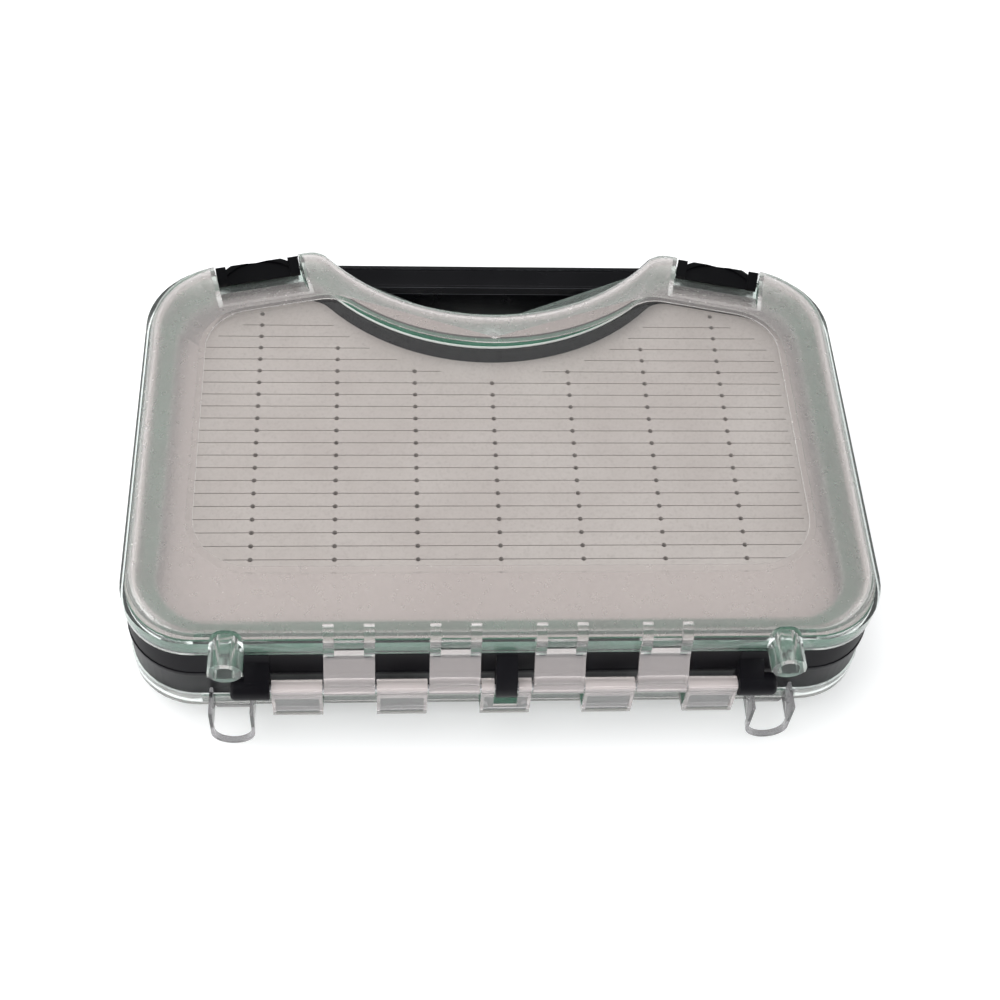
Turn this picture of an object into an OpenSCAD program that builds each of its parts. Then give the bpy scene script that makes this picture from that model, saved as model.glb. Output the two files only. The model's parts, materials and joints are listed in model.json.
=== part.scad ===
// Suitcase fly box: a middle frame with a foam sheet on each side, two clear
// domed lids on one hinge pin, four draw latches and a grip bar behind a hand notch.
// The sections are worked out about the hinge axis, which is x along y = 0, z = 0.
// The finished case then moves so that the origin is under its middle, on the ground.

/* [Outline] */
// Width over the rims of the lids
case_w = 317; // [300:1:340]
// From the hinge axis forward edge of the rims
rim_y = 6.5; // [6.2:0.1:8]
// From the hinge axis to the bottom of the hand notch
notch_y = 182.7; // [170:0.5:190]
// Radius of the hand notch
notch_r = 100; // [95:1:110]
// From the middle to the peak on each side of the notch
peak_x = 84; // [80:0.5:88]
// From the hinge axis to the back edge at a peak
peak_y = 221.6; // [217:0.1:224]
// Slope of the back edges, in degrees
back_slope = 12.6; // [10:0.2:14]
// Radius of the front corners
front_r = 30; // [24:1:36]
// Radius of the back corners
back_r = 36; // [30:1:38]
// Radius of the peaks
peak_r = 9; // [7:0.5:11]

/* [Lids] */
// Height of a lid from the seam to its face
lid_h = 20.5; // [18:0.5:26]
// Height of the rim flange of a lid
flange_h = 9; // [8:0.5:11]
// Width of the ledge on top of the flange
ledge_w = 2; // [1.5:0.1:3]
// Width of the rounded shoulder, seen from above
shoulder_w = 7; // [6:0.1:9]
// Height of the rounded shoulder
shoulder_h = 4.3; // [3.5:0.1:5]
// Height of the slope from the shoulder up to the window's rim
border_h = 4; // [3:0.1:5]
// Thickness of the lid walls
lid_t = 2; // [1.6:0.1:2.5]
// Depth of the step round the clear window
window_step = 0.6; // [0.3:0.1:0.8]
// Width of the flat rim round the clear window
window_rim = 3; // [2:0.5:5]
// Thickness of the outer skirt that hides the seal
skirt_t = 1.8; // [1.4:0.1:2.4]

/* [Window] */
// From the rim to the window at the front
window_front = 29.7; // [26:0.5:36]
// From the rim to the window at the sides
window_side = 29; // [26:0.5:36]
// From the rim to the window at the back
window_back = 39.7; // [38:0.1:46]
// From the rim to the window at the notch
window_notch = 26.2; // [22:0.5:32]

/* [Frame] */
// Height of the middle frame
frame_h = 32; // [28:1:38]
// How far the frame wall stands back from the rims of the lids
frame_set = 0.6; // [0.4:0.1:1]
// Width of the frame wall at the front and the sides
wall_w = 14; // [12:0.5:18]
// Width of the frame behind the latches
wall_back = 14; // [13:0.5:18]
// Width of the frame at the notch
wall_notch = 14; // [12:0.5:18]
// Thickness of the divider that carries the foam
web_t = 3; // [2:0.5:5]
// Height of the bead round the middle of the wall
bead_h = 2.4; // [1.6:0.2:4]
// How far the bead stands out
bead_out = 0.35; // [0.2:0.05:0.35]

/* [Seal and foam] */
// Thickness of the flat part of the seal
seal_t = 1.6; // [1.2:0.1:2]
// Width of the lip of the seal
lip_w = 2.5; // [2:0.1:3]
// Height of the lip of the seal over the frame
lip_h = 3.7; // [3:0.1:6]
// Thickness of a foam sheet
foam_t = 5.9; // [4:0.1:10]
// Distance between two slits in the foam
slit_pitch = 7; // [5:0.5:12]
// Width of a slit
slit_w = 0.4; // [0.3:0.1:1]
// Depth of a slit
slit_d = 1.5; // [0.5:0.1:3]
// From the hinge axis to the first slit
slit_y = 58; // [40:1:70]
// Number of slits in a sheet
slit_n = 21; // [10:1:22]
// How far the slits end before the edge of the sheet
slit_end = 8.5; // [4:0.5:12]

/* [Hinge] */
// Radius of the hinge pin
pin_r = 1.6; // [1.4:0.05:1.8]
// Radius of a hinge knuckle
knuckle_r = 3.2; // [3:0.1:3.4]
// Distance between two neighbouring knuckles
knuckle_pitch = 21.6; // [20:0.1:22]
// Gap between two neighbouring knuckles
knuckle_gap = 0.7; // [0.5:0.1:1.2]
// Thickness of the plates that carry the knuckles
plate_t = 2; // [1.6:0.1:2.2]
// Width of the raised border on those plates
plate_rim = 1.4; // [1:0.1:2]
// Height of that border
plate_rise = 0.7; // [0.4:0.1:0.8]
// Width of the ribs over the rim
rib_w = 4.4; // [3:0.1:5]
// Radius of the end bosses on the frame
boss_r = 4.9; // [4.6:0.1:5.2]
// Length of an end boss
boss_l = 16; // [14:0.5:17]
// Width of the middle lug
lug_w = 8.8; // [7:0.1:10]

/* [Feet] */
// From the side rim to the centre of a foot
foot_in = 44.5; // [42:0.5:47]
// Width of an upper foot
foot_top_w = 14; // [12:0.5:14]
// Width of a lower foot
foot_low_w = 18.4; // [18.4:0.1:20]
// Wall of an upper foot
foot_top_t = 2.8; // [2:0.1:3.5]
// Wall of a lower foot
foot_low_t = 1.4; // [1.2:0.1:1.7]
// Depth of the loop of a lower foot, front to back
loop_d = 2.6; // [2:0.1:4]
// Height of the crown of an upper foot above the hinge axis
crown_z = 30.3; // [29:0.1:31]
// Height of the ends of an upper foot above the hinge axis
prong_z = 20.6; // [20:0.1:22]
// Depth of the ends of a lower foot under the hinge axis
leg_z = 10; // [9.8:0.1:12]

/* [Latches] */
// From the side rim to the centre of a latch
latch_in = 47.7; // [45.7:0.1:49.7]
// Length of a latch
latch_l = 38.6; // [34:0.2:40]
// Height of a latch pivot over the middle of the frame
pivot_z = 6.2; // [6:0.1:7]
// From the rim back to a latch pivot
pivot_v = 4; // [3.8:0.1:4.2]
// Radius of a latch barrel
barrel_r = 3; // [2.6:0.1:3.2]
// Radius of a latch pin
latch_pin_r = 1.2; // [1:0.05:1.4]
// Length of a latch pin in each side of its pocket
latch_pin_end = 3.4; // [2:0.2:4]
// Reach of the latch hook from the rim
hook_reach = 12.6; // [11:0.1:14]
// Width of an ear of a latch
ear_w = 4.6; // [3:0.1:6]
// Radius of the bowed upper edge of a latch
bow_r = 23; // [22:1:40]
// Width of the raised lip along that edge
bow_lip = 1.5; // [1:0.1:2.5]
// How far the latches stand out from the rim
latch_out = 1.3; // [1:0.1:2]

/* [Handle] */
// How far the grip bar stands out behind the peaks
grip_out = 4.7; // [4:0.1:6]
// Depth of the grip bar, front to back
grip_d = 18.2; // [16:0.1:22]
// Height of the grip bar
grip_h = 28; // [18:0.5:30]
// Chamfer on the edges of the grip bar
grip_edge = 2.2; // [1:0.1:3]
// Depth of the panel sunk in the top and the bottom of the grip bar
grip_panel = 0.6; // [0.3:0.1:1]
// Width of a tenon that joins the grip bar to the frame
tenon_w = 26; // [20:1:28]
// Depth of a tenon, front to back
tenon_d = 7; // [5:0.5:8]
// Height of a tenon
tenon_h = 9; // [6:0.5:10]

/* [Hidden] */

half_w = case_w / 2;
latch_x = half_w - latch_in;
foot_x = half_w - foot_in;
grip_back = peak_y + grip_out;
frame_z = frame_h / 2;
seam = 0.3;
rim_z = frame_z + seam;
flange_z = frame_z + flange_h;
face_z = frame_z + lid_h;
soft_gap = 0.3;
run_gap = 0.06;
side_gap = 0.4;
lug_gap = 0.6;
tenon_gap = 0.1;
foot_y = rim_y - seam;
foot_low_z = face_z - seam;
case_mid_y = (grip_back - foot_y) / 2;
slope_out = [sin(back_slope), cos(back_slope)];
slope_along = [cos(back_slope), -sin(back_slope)];
notch_ease = 0.2;
corner_ease = 0.25;
notch_steps = 14;
peak_steps = 8;
corner_steps = 12;
knuckle_w = knuckle_pitch - knuckle_gap;
boss_x = 4.5 * knuckle_pitch + knuckle_gap / 2;
eps = 0.02;

// Seal section: the lip stands in a channel between the outer and the inner skirt.
channel_in = skirt_t + 2 * soft_gap + lip_w;
channel_z = flange_z - 1.2;
inner_skirt_in = channel_in + 1.7;
inner_skirt_z = rim_z + seal_t + soft_gap;
seal_back = 0.4;

// Latch section, measured from the rim: v runs outwards and z up.
slot_v = 6.3;
slot_half = latch_l / 2 + side_gap + 0.3;
seal_cut = slot_v + lid_t + soft_gap;
floor_z = flange_z - 0.4;
hook_z = floor_z + seam;
scoop_end_v = 34.3;
scoop_mid_v = 23.1;
scoop_low_v = 16.7;
pocket_v = pivot_v + barrel_r + 0.6;
pocket_low = pivot_z - barrel_r - 1;
pocket_half = latch_l / 2 + side_gap;

// ---- plan outline ----
function arc(c, r, a0, a1, n) = [for (i = [0:n])
    let (a = a0 + (a1 - a0) * i / n) c + r * [cos(a), sin(a)]];

// Right half of an outline that lies f, s, b and n inside the rim at the front,
// the sides, the back slopes and the notch.
function half_outline(f, s, b, n, rf, rb, rp) = let (
    nr = notch_r + notch_ease * n,
    nc = [0, notch_y - n + nr],
    peak = [peak_x, peak_y],
    base = peak - (b + rp) * slope_out,
    d = base - nc,
    h = d * slope_along,
    pc = base + (-h + sqrt(h * h - d * d + (nr + rp) * (nr + rp))) * slope_along,
    pa = atan2(pc.y - nc.y, pc.x - nc.x),
    q = peak - (b + rb) * slope_out,
    bc = q + (half_w - s - rb - q.x) / slope_along.x * slope_along,
    fc = [half_w - s - rf, rim_y + f + rf])
    concat(
        arc(nc, nr, -90, pa, notch_steps),
        arc(pc, rp, pa + 180, 90 - back_slope, peak_steps),
        arc(bc, rb, 90 - back_slope, 0, corner_steps),
        arc(fc, rf, 0, -90, corner_steps));

function mirrored(h) = concat(h, [for (i = [len(h) - 1:-1:1]) [-h[i].x, h[i].y]]);

// Outline at one distance inside the rim all round.
function rim_line(i) = mirrored(half_outline(i, i, i, i,
    front_r - corner_ease * i, back_r - corner_ease * i, peak_r + notch_ease * i));

// Outline of the foam well, and of the seal's inner edge where it is narrower.
function well_line(i, b) = mirrored(half_outline(wall_w + i, wall_w + i, b + i,
    wall_notch + i, front_r - wall_w / 2, back_r - wall_back / 2, peak_r + 3));

// Outline of the clear window, or of the flat rim w wide round it.
function window_line(w) = mirrored(half_outline(window_front - w, window_side - w,
    window_back - w, window_notch - w, front_r - 5 + w, back_r - 14 + w, peak_r * 2 - w));

module slab(line, z0, z1) {
    translate([0, 0, z0]) linear_extrude(z1 - z0) polygon(line);
}

module band(outer, inner, z0, z1) {
    translate([0, 0, z0]) linear_extrude(z1 - z0) difference() {
        polygon(outer);
        polygon(inner);
    }
}

// Skin through a stack of outlines, each with its own height.
module stack(levels) {
    count = len(levels[0][0]);
    points = [for (l = levels) for (p = l[0]) [p.x, p.y, l[1]]];
    top = (len(levels) - 1) * count;
    faces = concat(
        [[for (j = [count - 1:-1:0]) j]],
        [[for (j = [0:count - 1]) top + j]],
        [for (i = [0:len(levels) - 2]) for (j = [0:count - 1])
            let (a = i * count, k = (j + 1) % count) [a + j, a + k, a + count + k]],
        [for (i = [0:len(levels) - 2]) for (j = [0:count - 1])
            let (a = i * count, k = (j + 1) % count) [a + j, a + count + k, a + count + j]]);
    polyhedron(points, faces, convexity = 6);
}

// Profile drawn in y and z, extruded along x and centred on x = 0.
module bar(length, profile) {
    rotate([90, 0, 90]) linear_extrude(length, center = true) polygon(profile);
}

module rod(length, r) {
    rotate([0, 90, 0]) cylinder(h = length, r = r, center = true, $fn = 48);
}

// Puts its children on a back slope, with y outwards from the rim.
module at_latch(side) {
    mirror([side < 0 ? 1 : 0, 0, 0])
        translate([latch_x, peak_y - (latch_x - peak_x) * tan(back_slope), 0])
            rotate([0, 0, -back_slope]) children();
}

module at_both_sides() {
    for (side = [-1, 1]) at_latch(side) children();
}

// Moves the finished case from the hinge axis to its resting place.
module placed() {
    translate([0, -case_mid_y, face_z]) children();
}

// ---- lids ----
shoulder_in = ledge_w + 1;
shoulder_z = face_z - border_h - shoulder_h;
shoulder_steps = 6;
shoulder_turn = 70;

// Levels of the rounded shoulder and the slope above it, moved in and down by t.
function shoulder(t) = concat(
    [for (i = [0:shoulder_steps]) let (a = shoulder_turn * i / shoulder_steps)
        [rim_line(shoulder_in + t + shoulder_w * (1 - cos(a)) / (1 - cos(shoulder_turn))),
            shoulder_z - t + shoulder_h * sin(a) / sin(shoulder_turn)]],
    [[window_line(window_rim), face_z - t]]);

module lid_outside() {
    stack(concat(
        [[rim_line(0), rim_z], [rim_line(0), flange_z], [rim_line(ledge_w), flange_z + eps]],
        shoulder(0)));
}

module lid_cavity() {
    stack(concat(
        [[rim_line(inner_skirt_in), rim_z - 1], [rim_line(inner_skirt_in), channel_z + 0.8]],
        shoulder(lid_t)));
}

// Room over the hook and the arms of a latch, grown by t for the wall round it.
module latch_room(t) {
    bar(2 * (slot_half + t), [
        [-scoop_end_v - t, face_z + 2],
        [-scoop_end_v - t, face_z - t / 2],
        [-scoop_mid_v - t / 2, floor_z + 3.7 - t],
        [-scoop_low_v - t / 4, floor_z - t],
        [t + 2, floor_z - t],
        [t + 2, face_z + 2]]);
    translate([0, (2 - slot_v) / 2, rim_z + lid_h / 2 - 1])
        cube([2 * (slot_half + t), slot_v + 2 + 2 * t, lid_h], center = true);
}

module lid_shell() {
    difference() {
        union() {
            lid_outside();
            children();
        }
        difference() {
            lid_cavity();
            at_both_sides() latch_room(lid_t);
        }
        slab(rim_line(skirt_t), rim_z - 1, inner_skirt_z);
        band(rim_line(skirt_t), rim_line(channel_in), rim_z, channel_z);
        at_both_sides() latch_room(0);
        slab(window_line(0), face_z - window_step, face_z + 1);
    }
}

// Section of an upper knuckle plate, with its outer face moved out by t.
function top_plate(t) = [
    [rim_y + skirt_t / 2, rim_z + 4],
    [rim_y - 0.7 - t, rim_z + 4],
    [rim_y - 2.6 - t, frame_z - 1],
    [-0.9 - t, frame_z / 2],
    [-knuckle_r, 0.6 + t],
    [0, -0.6],
    [plate_t, 1.4],
    [plate_t - 0.6, frame_z / 2 - 1.4],
    [rim_y - 0.9, frame_z - 1.4],
    [rim_y - 0.3, rim_z + eps],
    [rim_y + skirt_t / 2, rim_z + eps]];

// Plate with a raised border on each side, from the rim of the upper lid to its knuckle.
module top_knuckle() {
    difference() {
        union() {
            rod(knuckle_w, knuckle_r);
            bar(knuckle_w, top_plate(0));
            for (s = [-1, 1]) translate([s * (knuckle_w - plate_rim) / 2, 0, 0])
                bar(plate_rim, top_plate(plate_rise));
        }
        rod(knuckle_w + 1, pin_r + run_gap);
    }
}

// Pair of ribs that tie a knuckle plate to the shoulder of the lid.
module shoulder_ribs() {
    for (s = [-1, 1]) translate([s * (knuckle_w - rib_w) / 2, 0, 0])
        bar(rib_w, [
            [rim_y + shoulder_in + 2.4, shoulder_z + 3],
            [rim_y + shoulder_in, shoulder_z + 3.6],
            [rim_y + 0.6, shoulder_z + 1.2],
            [rim_y - 1.3, flange_z + 0.4],
            [rim_y - 2, flange_z - 4],
            [rim_y - 2, frame_z - 2.4],
            [rim_y - 0.6, frame_z - 2.4],
            [rim_y - 0.6, rim_z],
            [rim_y + skirt_t, rim_z],
            [rim_y + shoulder_in + 2.4, flange_z]]);
}

// Squared knuckle, and a plate in front of the frame that turns back to the lower rim.
module bottom_knuckle() {
    foot = -frame_z - 2;
    shelf = knuckle_r - 0.4;
    difference() {
        union() {
            rod(knuckle_w, knuckle_r);
            bar(knuckle_w, [
                [-knuckle_r, shelf - 0.6],
                [-knuckle_r, foot + 0.8],
                [-knuckle_r + 1, foot - 0.4],
                [rim_y, foot - 2.6],
                [rim_y + skirt_t, foot - 2.6],
                [rim_y + skirt_t, -rim_z],
                [-knuckle_r + plate_t + 0.8, -rim_z],
                [-knuckle_r + plate_t, -rim_z + 0.8],
                [-knuckle_r + plate_t, 0],
                [knuckle_r - 0.5, 0],
                [knuckle_r - 0.5, shelf - 0.6],
                [knuckle_r - 1.1, shelf],
                [-knuckle_r + 0.6, shelf]]);
        }
        rod(knuckle_w + 1, pin_r + run_gap);
        translate([0, -knuckle_r, (foot - knuckle_r + 1.6) / 2])
            cube([knuckle_w - 2 * plate_rim, 2 * plate_rise, -knuckle_r - foot - 2.4], center = true);
    }
}

// Window in the middle lower knuckle, where the lug of the frame stands.
module lug_window() {
    top = knuckle_r + 0.8;
    low = 3 - frame_z;
    translate([0, -1, (top + low) / 2])
        cube([lug_w + 2 * lug_gap, 2 * knuckle_r + 6, top - low], center = true);
}

// Arched foot, drawn with its crown up: two legs joined by a half round.
module foot_arch(w, t, crown, ends) {
    r = w / 2;
    difference() {
        union() {
            translate([0, crown - r]) circle(r = r, $fn = 48);
            translate([-r, ends]) square([w, crown - r - ends]);
        }
        translate([0, crown - r]) circle(r = r - t, $fn = 48);
        translate([-r + t, ends - 1]) square([w - 2 * t, crown - r - ends + 1]);
    }
}

module foot_run(y0, y1) {
    translate([0, y1, 0]) rotate([90, 0, 0]) linear_extrude(y1 - y0) children();
}

module top_foot() {
    foot_run(-foot_y, rim_y + shoulder_in + 0.4)
        foot_arch(foot_top_w, foot_top_t, crown_z, prong_z);
}

// Thin loop, carried by two cheeks with a half-round web between them.
module bottom_foot() {
    r = foot_low_w / 2;
    web_z = flange_z - 1;
    web_h = 5.5;
    web_back = 0.4;
    mirror([0, 0, 1]) {
        foot_run(-foot_y, loop_d - foot_y)
            foot_arch(foot_low_w, foot_low_t, foot_low_z, leg_z);
        for (s = [-1, 1]) {
            translate([s * (r - foot_low_t / 2), 0, (leg_z + web_z) / 2])
                cube([foot_low_t, 2 * foot_y, web_z - leg_z], center = true);
            translate([s * (r - foot_low_t / 2), rim_y, (rim_z + web_z + eps) / 2])
                cube([foot_low_t, 2 * skirt_t, web_z - rim_z - eps], center = true);
        }
        foot_run(rim_y + web_back, rim_y + shoulder_in + shoulder_w / 2) intersection() {
            translate([0, web_z]) circle(r = r - foot_low_t / 2, $fn = 48);
            translate([-r, web_z - 1]) square([2 * r, web_h]);
        }
    }
}

module top_lid() {
    color([0.86, 0.88, 0.87, 0.45]) placed() lid_shell() {
        for (i = [-1.5:1.5]) translate([2 * i * knuckle_pitch, 0, 0]) {
            top_knuckle();
            shoulder_ribs();
        }
        for (s = [-1, 1]) translate([s * foot_x, 0, 0]) top_foot();
    }
}

module bottom_lid() {
    color([0.86, 0.88, 0.87, 0.45]) placed() difference() {
        mirror([0, 0, 1]) lid_shell() mirror([0, 0, 1]) {
            for (i = [-2:2]) translate([2 * i * knuckle_pitch, 0, 0]) bottom_knuckle();
            for (s = [-1, 1]) translate([s * foot_x, 0, 0]) bottom_foot();
        }
        lug_window();
    }
}

// ---- seals and foam ----
module seal() {
    difference() {
        union() {
            band(rim_line(skirt_t + soft_gap), well_line(-seal_back, wall_back),
                rim_z, rim_z + seal_t);
            band(rim_line(skirt_t + soft_gap), rim_line(skirt_t + soft_gap + lip_w),
                rim_z, rim_z + lip_h);
        }
        at_both_sides() translate([0, (5 - seal_cut) / 2, frame_z])
            cube([2 * (slot_half + lid_t + soft_gap), 5 + seal_cut, flange_h * 2],
                center = true);
    }
}

module top_seal() {
    color([0.18, 0.42, 0.33]) placed() seal();
}

module bottom_seal() {
    color([0.18, 0.42, 0.33]) placed() mirror([0, 0, 1]) seal();
}

module foam() {
    difference() {
        slab(well_line(soft_gap, wall_back), web_t / 2, web_t / 2 + foam_t);
        intersection() {
            slab(well_line(slit_end, wall_back), 0, frame_z);
            for (i = [0:slit_n - 1])
                translate([0, slit_y + i * slit_pitch, web_t / 2 + foam_t])
                    cube([case_w, slit_w, 2 * slit_d], center = true);
        }
    }
}

module top_foam() {
    color([0.76, 0.71, 0.7]) placed() foam();
}

module bottom_foam() {
    color([0.76, 0.71, 0.7]) placed() mirror([0, 0, 1]) foam();
}

// ---- frame and handle ----
module middle_lug() {
    bar(lug_w, [
        [rim_y + 2, frame_z - 2],
        [rim_y - 3, frame_z - 4.4],
        [-3.6, 3.4],
        [-4.4, 0],
        [-3.4, -3.6],
        [0, -4.4],
        [rim_y + 2, -frame_z / 2]]);
}

// Boss on the end of the pin, with a block up the wall behind it.
module end_boss(side) {
    mirror([side < 0 ? 1 : 0, 0, 0]) {
        translate([boss_x, 0, 0]) rotate([0, 90, 0]) rotate_extrude($fn = 48)
            polygon(concat([[0, 0], [boss_r, 0]],
                arc([boss_r - 2, boss_l - 2], 2, 0, 90, 6), [[0, boss_l]]));
        translate([boss_x + 5.1, 0, 0]) bar(10.2, [
            [rim_y + 2, frame_z - 0.5],
            [rim_y, frame_z - 0.5],
            [rim_y, 9.5],
            [rim_y - 3, 8.4],
            [0, boss_r],
            [0, -boss_r],
            [rim_y + 2, -8]]);
    }
}

module latch_pocket(up) {
    mirror([0, 0, up ? 0 : 1])
        translate([0, 3 - pocket_v / 2, (frame_z + 2 + pocket_low) / 2])
            cube([2 * pocket_half, pocket_v + 6, frame_z + 2 - pocket_low], center = true);
}

// Tenons of the grip bar, or with grow their sockets in the frame.
module grip_tenon(grow) {
    for (s = [-1, 1]) translate([s * (peak_x - 10), peak_y - 8.4, 0])
        cube([tenon_w, tenon_d, tenon_h] + 2 * grow * [1, 1, 1], center = true);
}

module mid_frame() {
    color([0.07, 0.07, 0.08]) placed() difference() {
        union() {
            difference() {
                slab(rim_line(frame_set), -frame_z, frame_z);
                slab(well_line(0, wall_back), web_t / 2, frame_z + 1);
                slab(well_line(0, wall_back), -frame_z - 1, -web_t / 2);
            }
            band(rim_line(frame_set - bead_out), rim_line(wall_w / 2), -bead_h / 2, bead_h / 2);
            middle_lug();
            end_boss(-1);
            end_boss(1);
        }
        rod(2 * (boss_x + boss_l - 2), pin_r + run_gap);
        at_both_sides() {
            latch_pocket(true);
            latch_pocket(false);
            for (s = [-1, 1]) translate([0, -pivot_v, s * pivot_z])
                rod(2 * (pocket_half + latch_pin_end), latch_pin_r + run_gap);
        }
        grip_tenon(tenon_gap);
    }
}

module handle() {
    e = grip_edge;
    front = grip_back - grip_d;
    z = grip_h / 2;
    color([0.06, 0.06, 0.07]) placed() {
        difference() {
            intersection() {
                bar(2 * peak_x, [
                    [front + e, z], [front, z - e], [front, -z + e], [front + e, -z],
                    [grip_back - e, -z], [grip_back, -z + e], [grip_back, z - e],
                    [grip_back - e, z]]);
                translate([0, 0, -z]) linear_extrude(grip_h) polygon(concat(
                    arc([peak_x - 8, grip_back - 8], 8, 0, 90, 8),
                    arc([8 - peak_x, grip_back - 8], 8, 90, 180, 8),
                    [[-peak_x, front - 1], [peak_x, front - 1]]));
            }
            slab(rim_line(frame_set - bead_out - 0.05), -frame_z, frame_z);
            for (s = [-1, 1]) translate([0, grip_back - grip_d / 2, s * z])
                cube([4 * peak_x, grip_d - 2 * e - 3, 2 * grip_panel], center = true);
        }
        grip_tenon(0);
    }
}

// ---- hinge pin, latches and their pins ----
module hinge_pin() {
    color([0.62, 0.63, 0.65]) placed() rod(2 * (boss_x + boss_l - 2.4), pin_r);
}

// Upper latch on the right. Its barrel turns on the pin, the plate climbs the
// frame wall to a bowed upper edge, and the hook lies on the floor of the scoop.
module latch_shape() {
    top_z = hook_z + 1.9;
    bend_z = pivot_z + 12.4;
    recess_in = bow_lip + 1.2;
    recess_d = 1.1;
    difference() {
        union() {
            translate([0, -pivot_v, pivot_z]) rod(latch_l, barrel_r);
            bar(latch_l, [
                [-pivot_v, pivot_z],
                [1 - pivot_v, pivot_z - barrel_r + 0.2],
                [barrel_r - pivot_v, pivot_z],
                [latch_out - 1.6, pivot_z + 2.8],
                [latch_out - 0.6, pivot_z + 6.3],
                [latch_out, bend_z],
                [-1.9, bend_z],
                [-1.6, pivot_z + 6],
                [-pivot_v - 0.4, pivot_z + barrel_r - 0.1]]);
            intersection() {
                bar(latch_l, [
                    [latch_out, bend_z],
                    [latch_out - 0.3, bend_z + 2.4],
                    [-1.9, top_z],
                    [-hook_reach + 1, top_z],
                    [-hook_reach, top_z - 0.8],
                    [-hook_reach, hook_z],
                    [-slot_v + 0.5, hook_z],
                    [-slot_v + 0.9, hook_z - 1.5],
                    [-1.9, bend_z]]);
                translate([0, latch_out - bow_r, 0]) cylinder(h = 2 * face_z, r = bow_r, $fn = 180);
            }
            for (s = [-1, 1]) translate([s * (latch_l - ear_w) / 2, 0, 0])
                bar(ear_w, [
                    [-slot_v + 1.2, hook_z - 0.8],
                    [-slot_v + 2.8, hook_z + 3.6],
                    [-slot_v + 1.2, hook_z + 5.1],
                    [-slot_v - 3, hook_z + 4.4],
                    [-hook_reach - 0.2, hook_z + 2],
                    [-hook_reach - 0.2, hook_z],
                    [-slot_v + 0.5, hook_z]]);
        }
        intersection() {
            translate([0, latch_out - bow_r, 0])
                cylinder(h = 2 * face_z, r = bow_r - recess_in, $fn = 180);
            translate([0, -hook_reach / 2 - 1, top_z])
                cube([latch_l - 2 * ear_w, hook_reach + 2, 2 * recess_d], center = true);
        }
        translate([0, -pivot_v, pivot_z]) rod(latch_l + 1, latch_pin_r + run_gap);
    }
}

module latch(side, up) {
    color([0.05, 0.05, 0.06]) placed() at_latch(side) mirror([0, 0, up ? 0 : 1]) latch_shape();
}

module latch_pins() {
    color([0.6, 0.61, 0.63]) placed() at_both_sides()
        for (s = [-1, 1]) translate([0, -pivot_v, s * pivot_z])
            rod(2 * (pocket_half + latch_pin_end) - 0.4, latch_pin_r);
}

mid_frame();
handle();
top_lid();
bottom_lid();
top_seal();
bottom_seal();
top_foam();
bottom_foam();
hinge_pin();
latch(-1, true);  // top_left_latch
latch(1, true);  // top_right_latch
latch(-1, false);  // bottom_left_latch
latch(1, false);  // bottom_right_latch
latch_pins();
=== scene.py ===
import json
import math
import bpy
from mathutils import Matrix, Vector

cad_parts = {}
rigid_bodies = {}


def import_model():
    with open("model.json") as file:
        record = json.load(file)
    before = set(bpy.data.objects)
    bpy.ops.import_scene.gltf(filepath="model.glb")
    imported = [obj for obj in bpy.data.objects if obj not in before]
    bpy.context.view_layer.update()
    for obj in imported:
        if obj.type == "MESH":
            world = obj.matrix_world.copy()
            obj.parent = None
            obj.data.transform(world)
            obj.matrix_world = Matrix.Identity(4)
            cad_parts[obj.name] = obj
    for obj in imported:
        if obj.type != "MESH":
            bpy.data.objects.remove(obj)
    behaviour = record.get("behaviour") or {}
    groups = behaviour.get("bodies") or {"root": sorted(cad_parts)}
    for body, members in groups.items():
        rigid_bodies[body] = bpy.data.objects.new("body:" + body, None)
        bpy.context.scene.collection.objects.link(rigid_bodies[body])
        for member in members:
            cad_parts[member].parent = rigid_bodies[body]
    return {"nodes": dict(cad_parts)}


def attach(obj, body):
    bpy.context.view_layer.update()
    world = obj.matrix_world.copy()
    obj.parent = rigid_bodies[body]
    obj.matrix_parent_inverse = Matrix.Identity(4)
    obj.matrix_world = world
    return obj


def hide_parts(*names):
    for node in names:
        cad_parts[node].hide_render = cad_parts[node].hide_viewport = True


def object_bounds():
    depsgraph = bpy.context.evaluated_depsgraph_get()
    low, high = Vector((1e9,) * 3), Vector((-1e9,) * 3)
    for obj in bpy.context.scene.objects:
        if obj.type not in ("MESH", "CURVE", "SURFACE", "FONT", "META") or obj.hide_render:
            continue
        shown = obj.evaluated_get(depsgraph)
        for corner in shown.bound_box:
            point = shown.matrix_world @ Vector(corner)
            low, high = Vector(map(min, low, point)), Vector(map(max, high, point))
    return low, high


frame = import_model()
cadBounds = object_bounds()
nodes = frame["nodes"]
middle = (cadBounds[0][2] + cadBounds[1][2]) / 2  # half the height, where the hinge axis lies
print("frame loaded with", len(nodes), "nodes")


def tone(red, green, blue):  # screen values from 0 to 255 as a shader colour
    def straight(value):
        value /= 255
        return value / 12.92 if value <= 0.04045 else ((value + 0.055) / 1.055) ** 2.4
    return (straight(red), straight(green), straight(blue), 1)


def grey(level):
    return (level, level, level, 1)


class Value:  # a socket that can be used in plain sums
    def __init__(self, maker, socket):
        self.maker, self.socket = maker, socket

    def sum(self, operation, *terms):
        sockets = {place: term for place, term in enumerate(terms)}
        return self.maker.node("ShaderNodeMath", {"operation": operation}, sockets)

    def __add__(self, other):
        return self.sum("ADD", self, other)

    def __mul__(self, other):
        return self.sum("MULTIPLY", self, other)

    __radd__ = __add__
    __rmul__ = __mul__

    def largest(self, other):
        return self.sum("MAXIMUM", self, other)


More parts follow.
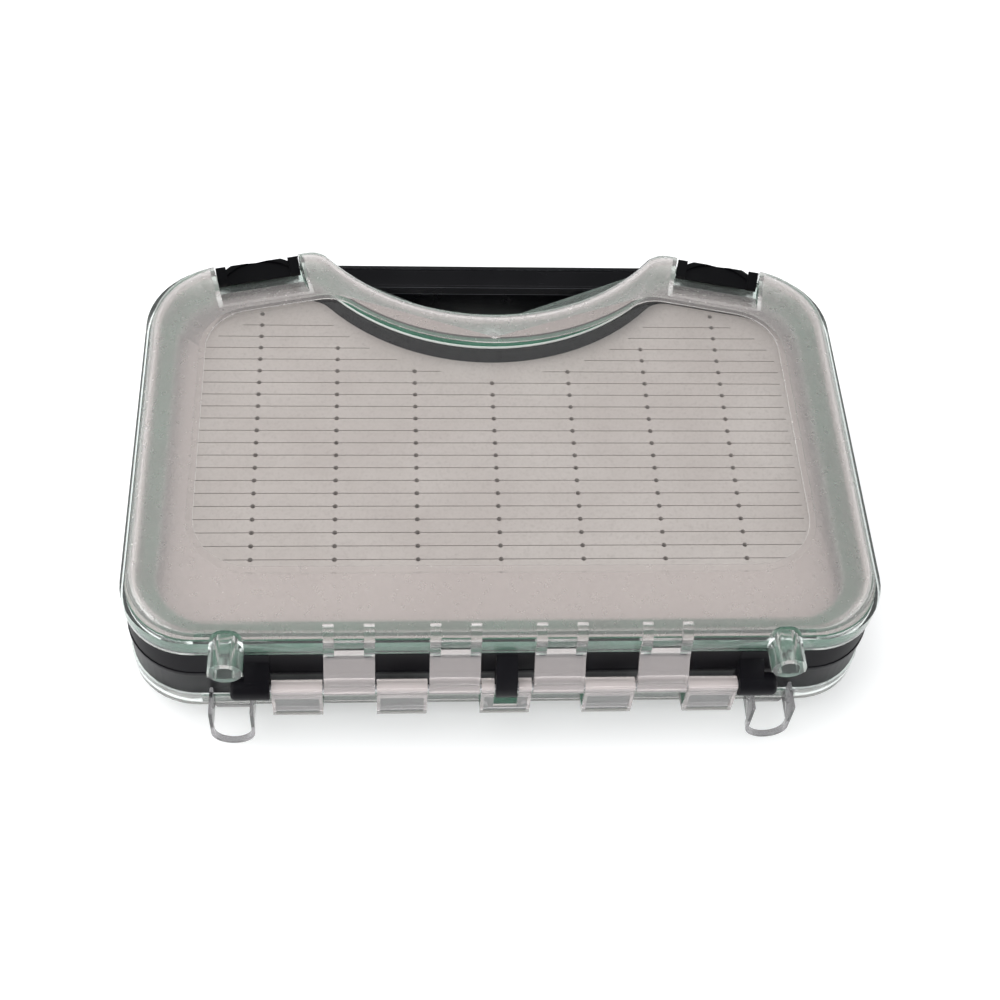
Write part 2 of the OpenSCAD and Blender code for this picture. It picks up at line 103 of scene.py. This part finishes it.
class Nodes:  # makes and links the nodes of a material or of the sky
    def __init__(self, tree):
        self.tree = tree

    def node(self, kind, settings={}, sockets={}, output=0):
        made = self.tree.nodes.new(kind)
        for name, value in settings.items():
            setattr(made, name, value)
        for name, value in sockets.items():
            self.feed(made.inputs[name], value)
        return Value(self, made.outputs[output])

    def feed(self, socket, value):
        if isinstance(value, Value):
            self.tree.links.new(value.socket, socket)
        else:
            socket.default_value = value

    def between(self, value, span, result):  # turns a span of values into another
        return self.node("ShaderNodeMapRange", {}, {"Value": value, "From Min": span[0],
                         "From Max": span[1], "To Min": result[0], "To Max": result[1]})

    def rayOf(self, *kinds):  # 1 for a ray of any of these kinds, else 0
        outputs = self.node("ShaderNodeLightPath").socket.node.outputs
        found = Value(self, outputs[kinds[0]])
        for kind in kinds[1:]:
            found = found.largest(Value(self, outputs[kind]))
        return found


class Finish(Nodes):  # one material
    def __init__(self, name, **sockets):
        self.material = bpy.data.materials.new(name)
        self.material.use_nodes = True
        super().__init__(self.material.node_tree)
        self.shader = self.tree.nodes["Principled BSDF"]
        self.output = self.tree.nodes["Material Output"]
        self.own = Value(self, self.shader.outputs[0])
        self.place = self.node("ShaderNodeTexCoord", output="Object")
        self.set(**sockets)

    def set(self, **sockets):
        for name, value in sockets.items():
            self.feed(self.shader.inputs[name.replace("_", " ")], value)

    def surface(self, kind, sockets):  # the last node, in place of the finish's own shader
        self.feed(self.output.inputs["Surface"], self.node(kind, {}, sockets))

    def noise(self, scale, detail=3.0, roughness=0.5, at=None):
        return self.node("ShaderNodeTexNoise", {}, {"Vector": at or self.place, "Scale": scale,
                         "Detail": detail, "Roughness": roughness}, "Fac")

    def stretched(self, x, y, z):
        return self.node("ShaderNodeMapping", {}, {"Vector": self.place, "Scale": (x, y, z)})

    def blend(self, share, first, second):  # by number, because its sockets share names
        return self.node("ShaderNodeMix", {"data_type": "RGBA"},
                         {0: share, 6: first, 7: second}, 2)

    def bump(self, height, strength, distance):
        self.set(Normal=self.node("ShaderNodeBump", {}, {"Height": height,
                 "Strength": strength, "Distance": distance}))


def deselectAll():
    for item in bpy.data.objects:
        item.select_set(False)


def activate(item):
    deselectAll()
    item.select_set(True)
    bpy.context.view_layer.objects.active = item


def editMesh(item, *steps):  # runs edit-mode steps on everything in the mesh
    activate(item)
    bpy.ops.object.mode_set(mode="EDIT")
    bpy.ops.mesh.select_all(action="SELECT")
    for step, values in steps:
        step(**values)
    bpy.ops.object.mode_set(mode="OBJECT")


def applyModifier(item, kind, **values):
    activate(item)
    made = item.modifiers.new(kind.title(), kind)
    for name, value in values.items():
        setattr(made, name, value)
    bpy.ops.object.modifier_apply(modifier=made.name)


def roundEdges(item, parts):  # rounds the sharp edges, then smooths the shading
    applyModifier(item, "BEVEL", width=parts["edge"], segments=parts["segments"],
                  limit_method="ANGLE", angle_limit=math.radians(parts["sharpOver"]),
                  use_clamp_overlap=True, harden_normals=False, miter_outer="MITER_ARC")
    activate(item)
    bpy.ops.object.shade_smooth_by_angle(angle=math.radians(parts["smoothUnder"]))


copying = {
    "weld": 2e-6,
    "flat": 0.4,  # faces within this angle, in degrees, become one
}


def cadCopy(node, name):  # a welded copy of a node, with its flat faces joined
    piece = bpy.data.objects.new(name, nodes[node].data.copy())
    bpy.context.scene.collection.objects.link(piece)
    piece.data.materials.clear()
    editMesh(piece, (bpy.ops.mesh.remove_doubles, {"threshold": copying["weld"]}),
             (bpy.ops.mesh.dissolve_limited, {"angle_limit": math.radians(copying["flat"])}))
    return piece


def dress(piece, *finishes):
    piece.data.materials.clear()
    for finish in finishes:
        piece.data.materials.append(finish.material)


def standsFor(piece, node, body):
    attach(piece, body)
    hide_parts(node)


# camera, found from the pattern of holes in the foam
view = {
    "at": (-0.05316, -0.44726, 0.64345),
    "right": (0.9973138, -0.0436722, 0.05880419),
    "down": (-0.00146974, -0.81458491, -0.58004246),
    "ahead": (0.07323274, 0.57839792, -0.81246096),
    "lens": 59.975,
    "sensor": 36,
    "nearest": 0.01,
}
cameraData = bpy.data.cameras.new("camera")
cameraData.sensor_width = view["sensor"]
cameraData.lens = view["lens"]
cameraData.clip_start = view["nearest"]
camera = bpy.data.objects.new("camera", cameraData)
bpy.context.scene.collection.objects.link(camera)
turn = Matrix((view["right"], -Vector(view["down"]), -Vector(view["ahead"]))).transposed()
camera.matrix_world = Matrix.Translation(view["at"]) @ turn.to_4x4()
bpy.context.scene.camera = camera
print("camera placed")

# finishes: lengths are in metres, and a pattern's scale is its waves to the metre
plasticIor = 1.5
mostNoise = (0.3, 0.7)  # the span that most of a noise lies in

blackPlastics = {
    "satinFramePlastic": {"colour": tone(15, 14, 18), "roughness": 0.4, "grain": 2600,
                          "shine": 0.12},
    "gripPlastic": {"colour": tone(9, 9, 12), "roughness": 0.24, "grain": 1800, "shine": 0.3},
    # the grip's rounded edges: a grey colour, a painted highlight, on top of their real shine
    "gripEdgePaintedHighlight": {"colour": tone(96, 96, 100), "roughness": 0.16, "grain": 1800,
                         "shine": 1.0},
    "latchPlastic": {"colour": tone(8, 8, 10), "roughness": 0.3, "grain": 2200, "shine": 0.15},
}
wear = {
    "clouds": 22,
    "cloudSpan": (0.42, 0.66),
    "paler": 1.9,           # a cloud's colour is the plastic's times this, and a little more
    "paleLift": 0.004,
    "paleShare": 0.35,
    "polish": 0.05,         # how far the clouds change the roughness, down and up
    "dulling": 0.06,
    "scuffs": 60,
    "scuffShape": (1, 5, 1),
    "scuffSpan": (0.62, 0.78),
    "scuffDulling": 0.09,
    "grainShare": 0.8,      # of the bump, the rest being scuffs
    "scuffShare": 0.2,
    "bumpStrength": 0.08,
    "bumpHeight": 0.00006,
}


def blackPlastic(name):
    look = blackPlastics[name]
    made = Finish(name, IOR=plasticIor, Specular_IOR_Level=look["shine"])
    grain = made.noise(look["grain"], detail=2)
    clouds = made.noise(wear["clouds"])
    scuffs = made.noise(wear["scuffs"], detail=4, roughness=0.7,
                        at=made.stretched(*wear["scuffShape"]))
    paler = [part * wear["paler"] + wear["paleLift"] for part in look["colour"][:3]]
    made.set(Base_Color=made.blend(made.between(clouds, wear["cloudSpan"], (0, wear["paleShare"])),
             look["colour"], (*paler, 1)))
    cloudy = (look["roughness"] - wear["polish"], look["roughness"] + wear["dulling"])
    made.set(Roughness=made.between(clouds, mostNoise, cloudy)
             + made.between(scuffs, wear["scuffSpan"], (0, wear["scuffDulling"])))
    made.bump(grain * wear["grainShare"] + scuffs * wear["scuffShare"],
              wear["bumpStrength"], wear["bumpHeight"])
    return made


framePlastic = blackPlastic("satinFramePlastic")
gripPlastic = blackPlastic("gripPlastic")
gripPaintedHighlight = blackPlastic("gripEdgePaintedHighlight")
latchPlastic = blackPlastic("latchPlastic")

rubber = {
    "deep": tone(20, 78, 58),
    "light": tone(44, 106, 84),
    "clouds": 35,
    "cloudSpan": (0.35, 0.68),
    "grain": 1500,
    "roughness": (0.42, 0.58),
    "bumpStrength": 0.12,
    "bumpHeight": 0.0002,
}
sealRubber = Finish("greenRubber", IOR=plasticIor)
rubberCloud = sealRubber.between(sealRubber.noise(rubber["clouds"]), rubber["cloudSpan"], (0, 1))
rubberGrain = sealRubber.noise(rubber["grain"], detail=2)
sealRubber.set(Base_Color=sealRubber.blend(rubberCloud, rubber["deep"], rubber["light"]))
sealRubber.set(Roughness=sealRubber.between(rubberGrain, mostNoise, rubber["roughness"]))
sealRubber.bump(rubberGrain, rubber["bumpStrength"], rubber["bumpHeight"])

# the seal's inner edge is painted near-white: a painted highlight on the green rubber
sealHighlightPaint = {
    "dull": tone(226, 231, 228),
    "bright": tone(240, 243, 241),
    "clouds": 60,
    "grain": 900,
    "roughness": (0.2, 0.3),
}
sealPaintedHighlight = Finish("sealEdgePaintedHighlight", IOR=plasticIor)
sealPaintedHighlight.set(Base_Color=sealPaintedHighlight.blend(sealPaintedHighlight.noise(sealHighlightPaint["clouds"]), sealHighlightPaint["dull"],
             sealHighlightPaint["bright"]))
sealPaintedHighlight.set(Roughness=sealPaintedHighlight.between(sealPaintedHighlight.noise(sealHighlightPaint["grain"], detail=2), mostNoise,
             sealHighlightPaint["roughness"]))

foam = {
    "base": tone(178, 167, 164),
    "dark": tone(156, 144, 142),
    "light": tone(188, 178, 175),
    "ior": 1.4,
    "clouds": 14,
    "cloudSpan": (0.35, 0.65),
    "cells": 1500,
    "cellSpan": (0, 0.6),
    "grain": 900,
    "grainSpan": (0.5, 0.72),
    "darkShare": 0.6,
    "roughness": (0.7, 0.95),
    "grainShare": 0.6,      # of the bump, the rest being cells
    "cellShare": 0.4,
    "bumpStrength": 0.2,
    "bumpHeight": 0.0002,
}
foamSkin = Finish("closedCellFoam", IOR=foam["ior"])
foamCloud = foamSkin.between(foamSkin.noise(foam["clouds"], detail=4, roughness=0.6),
                             foam["cloudSpan"], (0, 1))
foamCells = foamSkin.node("ShaderNodeTexVoronoi", {}, {"Vector": foamSkin.place,
                          "Scale": foam["cells"]}, "Distance")
foamGrain = foamSkin.noise(foam["grain"], roughness=0.7)
foamSpots = foamSkin.between(foamGrain, foam["grainSpan"], (0, foam["darkShare"]))
foamSkin.set(Base_Color=foamSkin.blend(foamSpots, foamSkin.blend(foamCloud, foam["base"],
             foam["light"]), foam["dark"]))
foamSkin.set(Roughness=foamSkin.between(foamCells, foam["cellSpan"], foam["roughness"]))
foamSkin.bump(foamGrain * foam["grainShare"] + foamCells * foam["cellShare"],
              foam["bumpStrength"], foam["bumpHeight"])

steel = {
    "dull": tone(176, 178, 182),
    "bright": tone(214, 215, 218),
    "lines": 240,
    "lineShape": (0.02, 1, 1),
    "roughness": (0.2, 0.34),
    "bumpStrength": 0.08,
    "bumpHeight": 0.0001,
}
pinSteel = Finish("pinSteel", Metallic=1)
steelLines = pinSteel.noise(steel["lines"], roughness=0.6,
                            at=pinSteel.stretched(*steel["lineShape"]))
pinSteel.set(Base_Color=pinSteel.blend(steelLines, steel["dull"], steel["bright"]))
pinSteel.set(Roughness=pinSteel.between(steelLines, mostNoise, steel["roughness"]))
pinSteel.bump(steelLines, steel["bumpStrength"], steel["bumpHeight"])

# the zones of a lid, in the order of its finishes; haze roughens a zone by up to its spread
lidZones = {
    "pane": {"name": "clearPlastic", "tint": (0.975, 0.985, 0.98, 1), "clear": 1.0,
             "roughness": 0.01, "spread": 0.03, "ripples": 45, "strength": 0.02, "haze": 30},
    "rim": {"name": "rimPlastic", "tint": tone(243, 249, 246), "clear": 0.98,
            "roughness": 0.1, "spread": 0.05, "ripples": 60, "strength": 0.02, "haze": 120},
    "frost": {"name": "frostedPlastic", "tint": tone(221, 215, 213), "clear": 0.84,
              "roughness": 0.22, "spread": 0.06, "ripples": 40, "strength": 0.02, "haze": 300},
    # the slope round the window is nearly opaque white: a painted highlight along the window's
    # edge
    "step": {"name": "windowStepPaintedHighlight", "tint": tone(255, 254, 252), "clear": 0.05,
             "roughness": 0.1, "spread": 0.05, "ripples": 300, "strength": 0.02, "haze": 200},
    "plate": {"name": "hingePlastic", "tint": tone(226, 218, 217), "clear": 0.76,
              "roughness": 0.08, "spread": 0.05, "ripples": 200, "strength": 0.03, "haze": 200},
    # the feet's own darker finish, also put on the sunk panels of the lower knuckles as painted
    # shade in the recess
    "foot": {"name": "footAndPanelShadePlastic", "tint": tone(172, 170, 172), "clear": 0.86,
             "roughness": 0.06, "spread": 0.05, "ripples": 200, "strength": 0.03, "haze": 200},
    # a paler, less clear finish on the upward faces of the lower knuckles: painted light on their
    # tops
    "shelf": {"name": "shelfPaintedLightPlastic", "tint": tone(232, 222, 220), "clear": 0.55,
              "roughness": 0.12, "spread": 0.05, "ripples": 200, "strength": 0.03, "haze": 200},
}
clearAll = {
    "rippleHeight": 0.0004,
    "passing": (0.93, 0.94, 0.93, 1),  # what is left of light that passes straight through
}


def clearPlastic(zone):
    made = Finish(zone["name"], IOR=plasticIor, Base_Color=zone["tint"])
    made.set(Transmission_Weight=zone["clear"])
    made.set(Roughness=made.between(made.noise(zone["haze"]), mostNoise,
             (zone["roughness"], zone["roughness"] + zone["spread"])))
    made.bump(made.noise(zone["ripples"], detail=2), zone["strength"], clearAll["rippleHeight"])
    # lamps and bounced light pass straight through, so what lies inside is lit
    passing = made.node("ShaderNodeBsdfTransparent", {}, {"Color": clearAll["passing"]})
    made.surface("ShaderNodeMixShader", {0: made.rayOf("Is Shadow Ray", "Is Diffuse Ray"),
                 1: made.own, 2: passing})
    return made


zoneOrder = list(lidZones)
zoneFinishes = [clearPlastic(lidZones[zone]) for zone in zoneOrder]
print("finishes made")

# lids
lidParts = {
    "edge": 0.00028,        # rounding of the moulded edges
    "segments": 2,
    "sharpOver": 40,        # degrees, as in the dictionaries below
    "smoothUnder": 27,
    "stepEdge": 0.00058,    # slope round the window
    "stepTurn": 0.3,        # the step's edge is where two normals agree less than this
    "flangeTop": 0.025,     # heights from the hinge axis
    "windowTop": cadBounds[1][2] - middle,
    "windowStep": 0.0006,
    "plateTop": 0.0175,     # above it the hinge plates are clear
    "footLine": -0.1003,    # in front of these lines lie the feet and the hinge plates
    "plateLine": -0.1042,
    "panel": -0.11255,      # sunk panels of the lower knuckles
    "panelWithin": 0.0001,
    "paneDepth": 0.004,
    "scoopLine": 0.06,      # behind this line lie the latch scoops
    "scoopAcross": (0.082, 0.142),
    "hingeHalf": 0.098,
    "footAcross": (0.1045, 0.1235),
    "flatArea": 0.0004,     # a face larger than this stays flat
    "slack": 0.00002,
    "flangeSlack": 0.00004,
    "facing": 0.95,         # least share of a normal that points to the front
    "level": 0.999,         # and upwards, on the pane
    "slope": (0.3, 0.985),  # on the slope round the window
    "half": 0.5,            # between upright and level
}


def facesByEdge(mesh):  # the faces on both sides of each edge
    sides = {}
    for face in mesh.polygons:
        for key in face.edge_keys:
            sides.setdefault(key, []).append(face)
    return [(edge, sides[tuple(sorted(edge.vertices))]) for edge in mesh.edges]


def windowEdges(lid, sign):  # the sharp upper edge of the step round the window
    found = []
    for edge, near in facesByEdge(lid.data):
        lowest = min((lid.data.vertices[v].co.z - middle) * sign for v in edge.vertices)
        if lowest > lidParts["windowTop"] - lidParts["slack"] and len(near) == 2 and \
                near[0].normal.dot(near[1].normal) < lidParts["stepTurn"]:
            found.append(edge.index)
    return found


def bevelStep(lid, sign):
    activate(lid)
    lid.data.attributes.new("bevel_weight_edge", "FLOAT", "EDGE")
    weights = lid.data.attributes["bevel_weight_edge"].data
    for index in windowEdges(lid, sign):
        weights[index].value = 1
    applyModifier(lid, "BEVEL", width=lidParts["stepEdge"], segments=1, limit_method="WEIGHT")


def within(value, span):
    return span[0] < value < span[1]


def hingeZone(face, sign, height):  # the sunk panels get the feet's darker finish, a painted shade in the recess; upward faces of the lower knuckles get a paler finish, painted light
    sunk = abs(face.center.y - lidParts["panel"]) < lidParts["panelWithin"]
    if sunk and face.normal.y < -lidParts["facing"]:
        return "foot"
    if height > lidParts["plateTop"]:
        return "pane"
    return "shelf" if sign < 0 and face.normal.z > lidParts["half"] else "plate"


def lidZone(face, sign):  # the zone of the lid that a face lies in
    height = (face.center.z - middle) * sign
    across, along = abs(face.center.x), face.center.y
    up = abs(face.normal.z)
    top, deep = lidParts["windowTop"], lidParts["windowTop"] - lidParts["paneDepth"]
    if along < lidParts["plateLine"] and across < lidParts["hingeHalf"]:
        return hingeZone(face, sign, height)
    if along < lidParts["footLine"] and within(across, lidParts["footAcross"]):
        return "rim" if sign > 0 else "foot"
    if height < lidParts["flangeTop"] + lidParts["flangeSlack"]:
        return "rim"
    if up > lidParts["level"] and within(height, (deep, top - lidParts["windowStep"] / 2)):
        return "pane"
    if height > top - lidParts["windowStep"] - lidParts["slack"] and within(up, lidParts["slope"]):
        return "step"
    inScoop = up < lidParts["half"] and along > lidParts["scoopLine"] and \
        within(across, lidParts["scoopAcross"])
    return "rim" if inScoop and height < deep else "frost"


def keepFlat(lid):  # large flat faces keep their own normals, so nothing shades across them
    for edge, near in facesByEdge(lid.data):
        if len(near) == 2 and max(face.area for face in near) > lidParts["flatArea"]:
            edge.use_edge_sharp = True


def makeLid(node, name, sign):
    lid = cadCopy(node, name)
    bevelStep(lid, sign)
    roundEdges(lid, lidParts)
    keepFlat(lid)
    dress(lid, *zoneFinishes)
    for face in lid.data.polygons:
        face.material_index = zoneOrder.index(lidZone(face, sign))
    standsFor(lid, node, node)
    return lid


topLid = makeLid("top_lid", "topLidShell", 1)
bottomLid = makeLid("bottom_lid", "bottomLidShell", -1)
print("lids made, faces:", len(topLid.data.polygons), len(bottomLid.data.polygons))

# middle frame
frameParts = {"edge": 0.0005, "segments": 2, "sharpOver": 40, "smoothUnder": 30}
middleFrame = cadCopy("mid_frame", "middleFrame")
roundEdges(middleFrame, frameParts)
dress(middleFrame, framePlastic)
standsFor(middleFrame, "mid_frame", "case")

# grip bar
gripParts = {
    "edge": 0.0006,
    "segments": 3,
    "sharpOver": 25,
    "smoothUnder": 35,
    "slopes": (0, math.sqrt(0.5), 1),  # how far up its flat faces point
    "slopeWithin": 0.02,
}
gripBar = cadCopy("handle", "gripBar")
roundEdges(gripBar, gripParts)
dress(gripBar, gripPlastic, gripPaintedHighlight)
for face in gripBar.data.polygons:  # the rounded edges between its flat faces get a grey colour, a painted highlight, and more shine
    off = min(abs(abs(face.normal.z) - slope) for slope in gripParts["slopes"])
    face.material_index = 1 if off > gripParts["slopeWithin"] else 0
standsFor(gripBar, "handle", "case")
print("frame and grip bar made")

# seals
sealParts = {
    "edge": 0.0005,
    "segments": 3,
    "sharpOver": 40,
    "smoothUnder": 35,
    "flatTop": 0.0179,      # height of the flat part of a seal from the hinge axis
    "slack": 0.00004,
    "level": 0.9,
}
for node, name in (("top_seal", "topSealRing"), ("bottom_seal", "bottomSealRing")):
    ring = cadCopy(node, name)
    roundEdges(ring, sealParts)
    dress(ring, sealRubber, sealPaintedHighlight)
    for face in ring.data.polygons:  # the inner edge all round is painted pale, a painted highlight
        inwards = face.normal.x * face.center.x + face.normal.y * face.center.y < 0
        low = abs(face.center.z - middle) < sealParts["flatTop"] - sealParts["slack"]
        steep = abs(face.normal.z) < sealParts["level"]
        face.material_index = 1 if inwards and low and steep else 0
    standsFor(ring, node, "case")
print("seals made")

# foam sheets, with a pin hole where a column crosses a slit
foamParts = {
    "columnGap": 0.03585,
    "firstRow": -0.05205,
    "rowGap": 0.007,
    "rows": (21, 18, 16, 15, 16, 18, 21),  # holes in each column
    "holeRadius": 0.00115,
    "holeDepth": 0.0032,
    "holeSides": 14,
    "face": 0.0074,         # height of a sheet's open face from the hinge axis
}


def pinHoles(height):  # one joined tool with a rod for every hole
    deselectAll()
    rods = []
    for column, count in enumerate(foamParts["rows"]):
        across = (column - (len(foamParts["rows"]) - 1) / 2) * foamParts["columnGap"]
        for row in range(count):
            rods.append((across, foamParts["firstRow"] + row * foamParts["rowGap"]))
    bpy.ops.mesh.primitive_cylinder_add(vertices=foamParts["holeSides"],
                                        radius=foamParts["holeRadius"],
                                        depth=2 * foamParts["holeDepth"],
                                        location=(*rods[0], height))
    tool = bpy.context.object
    bpy.ops.object.transform_apply(location=True, rotation=True, scale=True)
    bpy.ops.object.mode_set(mode="EDIT")
    for (across, along), (nextAcross, nextAlong) in zip(rods, rods[1:]):
        bpy.ops.mesh.duplicate_move(TRANSFORM_OT_translate={
            "value": (nextAcross - across, nextAlong - along, 0)})
    bpy.ops.object.mode_set(mode="OBJECT")
    return tool


for node, name, sign in (("top_foam", "topFoamSheet", 1), ("bottom_foam", "bottomFoamSheet", -1)):
    sheet = cadCopy(node, name)
    tool = pinHoles(middle + sign * foamParts["face"])
    applyModifier(sheet, "BOOLEAN", operation="DIFFERENCE", solver="EXACT", object=tool)
    bpy.data.objects.remove(tool)
    activate(sheet)
    bpy.ops.object.shade_flat()  # smoothing would shade across the large flat faces
    dress(sheet, foamSkin)
    standsFor(sheet, node, "case")
print("foam sheets made")

# latches
latchParts = {"edge": 0.0006, "segments": 3, "sharpOver": 25, "smoothUnder": 35}
latchNames = {
    "top_left_latch": "topLeftLatch",
    "top_right_latch": "topRightLatch",
    "bottom_left_latch": "bottomLeftLatch",
    "bottom_right_latch": "bottomRightLatch",
}
for node, name in latchNames.items():
    latch = cadCopy(node, name)
    roundEdges(latch, latchParts)
    dress(latch, latchPlastic)
    standsFor(latch, node, node)

# the pins are shown as they are, in steel
for node in ("hinge_pin", "latch_pins"):
    for slot in nodes[node].material_slots:
        slot.material = pinSteel.material
print("latches and pins made")

# studio: a paper floor, a sky and four lamps
studio = {
    "floorSize": 12,
    "drop": 0.0002,         # the floor lies just below the object
    "paper": 0.92,
    "paperGrain": 300,
    "grainDepth": 0.01,
    "paperRoughness": 0.9,
    "paperShine": 0.1,
    "lift": 0.25,           # light that the paper adds where it is seen
    "sky": 0.72,
    "skyInGloss": 0.3,
    "skyColour": (0.97, 0.985, 1, 1),
}
bpy.ops.mesh.primitive_plane_add(size=studio["floorSize"], location=(0, 0, -studio["drop"]))
floor = bpy.context.object
floor.name = "studioFloor"
paper = Finish("studioPaper", Roughness=studio["paperRoughness"])
paper.set(Base_Color=paper.blend(paper.noise(studio["paperGrain"], detail=2),
          grey(studio["paper"]), grey(studio["paper"] - studio["grainDepth"])))
paper.set(Specular_IOR_Level=studio["paperShine"])
seen = paper.rayOf("Is Glossy Ray", "Is Transmission Ray", "Is Camera Ray")
lift = paper.node("ShaderNodeEmission", {}, {"Color": grey(1), "Strength": seen * studio["lift"]})
paper.surface("ShaderNodeAddShader", {0: paper.own, 1: lift})
dress(floor, paper)

# sky: white where it is seen, dimmer where it lights the object, and dimmest in gloss
world = bpy.data.worlds.new("studioSky")
bpy.context.scene.world = world
world.use_nodes = True
sky = Nodes(world.node_tree)
background = sky.tree.nodes["Background"]
sky.feed(background.inputs["Color"], studio["skyColour"])
sky.feed(background.inputs["Strength"], sky.between(sky.rayOf("Is Glossy Ray"), (0, 1),
         (studio["sky"], studio["skyInGloss"])))
white = sky.node("ShaderNodeBackground", {}, {"Color": grey(1)})
sky.feed(sky.tree.nodes["World Output"].inputs["Surface"], sky.node("ShaderNodeMixShader", {}, {
         0: sky.rayOf("Is Camera Ray", "Is Transmission Ray"),
         1: Value(sky, background.outputs[0]), 2: white}))

lamps = {
    "backBox": {"at": (0.1, 1.3, 0.35), "size": 0.9, "power": 1.2, "shines": True},
    "overhead": {"at": (-0.35, 0.25, 1.3), "size": 1.1, "power": 9, "shines": False},
    "leftBox": {"at": (-1.0, -0.3, 0.55), "size": 0.8, "power": 5, "shines": True},
    "rightBox": {"at": (0.95, -0.35, 0.6), "size": 0.7, "power": 2.5, "shines": True},
}
for name, lamp in lamps.items():
    lampData = bpy.data.lights.new(name, "AREA")
    lampData.size = lamp["size"]
    lampData.energy = lamp["power"]
    light = bpy.data.objects.new(name, lampData)
    bpy.context.scene.collection.objects.link(light)
    light.location = lamp["at"]
    light.visible_camera = light.visible_transmission = False
    light.visible_glossy = lamp["shines"]
    light.rotation_euler = (-Vector(lamp["at"])).to_track_quat("-Z", "Y").to_euler()

bpy.context.scene.view_settings.view_transform = "Standard"
print("scene ready")
